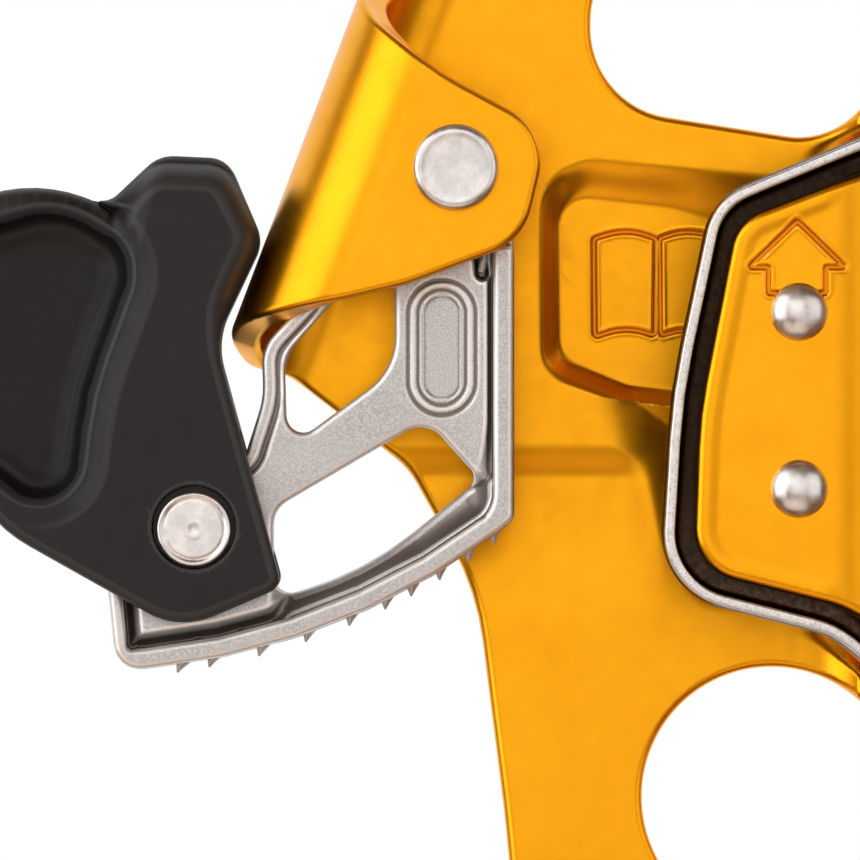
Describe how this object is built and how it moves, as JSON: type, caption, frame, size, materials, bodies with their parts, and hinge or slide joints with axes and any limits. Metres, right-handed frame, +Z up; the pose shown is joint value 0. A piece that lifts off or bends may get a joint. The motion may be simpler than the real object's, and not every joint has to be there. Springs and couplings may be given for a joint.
{
  "type": "chest ascender",
  "caption": "Folded sheet rope clamp with a toothed cam, a finger trigger that locks the cam open, a steel lined rope channel and two attachment eyes.",
  "frame": {"origin": "centre of the lower attachment eye, on the front face of the back plate", "axes": "+Z up along the rope, +X towards the folded side of the rope channel, -Y towards the front (the side with the rivet heads and the cam's lug)"},
  "size_m": [0.095, 0.0249, 0.1143],
  "materials": {
    "anodised_sheet": "satin gold-orange anodising",
    "stainless_sheet": "pressed stainless steel with a bare cut edge",
    "cast_steel": "bead-blasted and plated casting",
    "nylon": "fine-textured black moulding",
    "rivet_steel": "formed and polished stainless steel",
    "bronze": "plain bearing bronze",
    "spring_steel": "drawn stainless wire"
  },
  "bodies": {
    "frame": {"frame": "anodised_sheet", "channel_liner": "stainless_sheet", "liner_rivet_upper": "rivet_steel", "liner_rivet_lower": "rivet_steel", "cam_axle": "rivet_steel", "axle_washer": "rivet_steel", "front_thrust_washer": "bronze", "rear_thrust_washer": "bronze", "cam_spring": "spring_steel"},
    "cam": {"cam": "cast_steel", "cam_bush": "bronze", "trigger_rivet": "rivet_steel", "trigger_bush": "bronze", "trigger_rivet_washer": "rivet_steel"},
    "trigger": {"trigger": "nylon", "trigger_spring": "spring_steel"}
  },
  "joints": [
    {"name": "cam_pivot", "type": "hinge", "parent": "frame", "child": "cam", "pos_m": [-0.02989, -0.006, 0.05903], "axis": [0, -1, 0], "range_deg": [0, 49], "deforming": ["cam_spring"]},
    {"name": "trigger_pivot", "type": "hinge", "parent": "cam", "child": "trigger", "pos_m": [-0.05425, -0.0073, 0.02538], "axis": [0, -1, 0], "range_deg": [0, 40], "deforming": ["trigger_spring"]}
  ],
  "couplings": [
    {"joint": "trigger_pivot", "follows": "cam_pivot", "ratio": 0.8163}
  ]
}
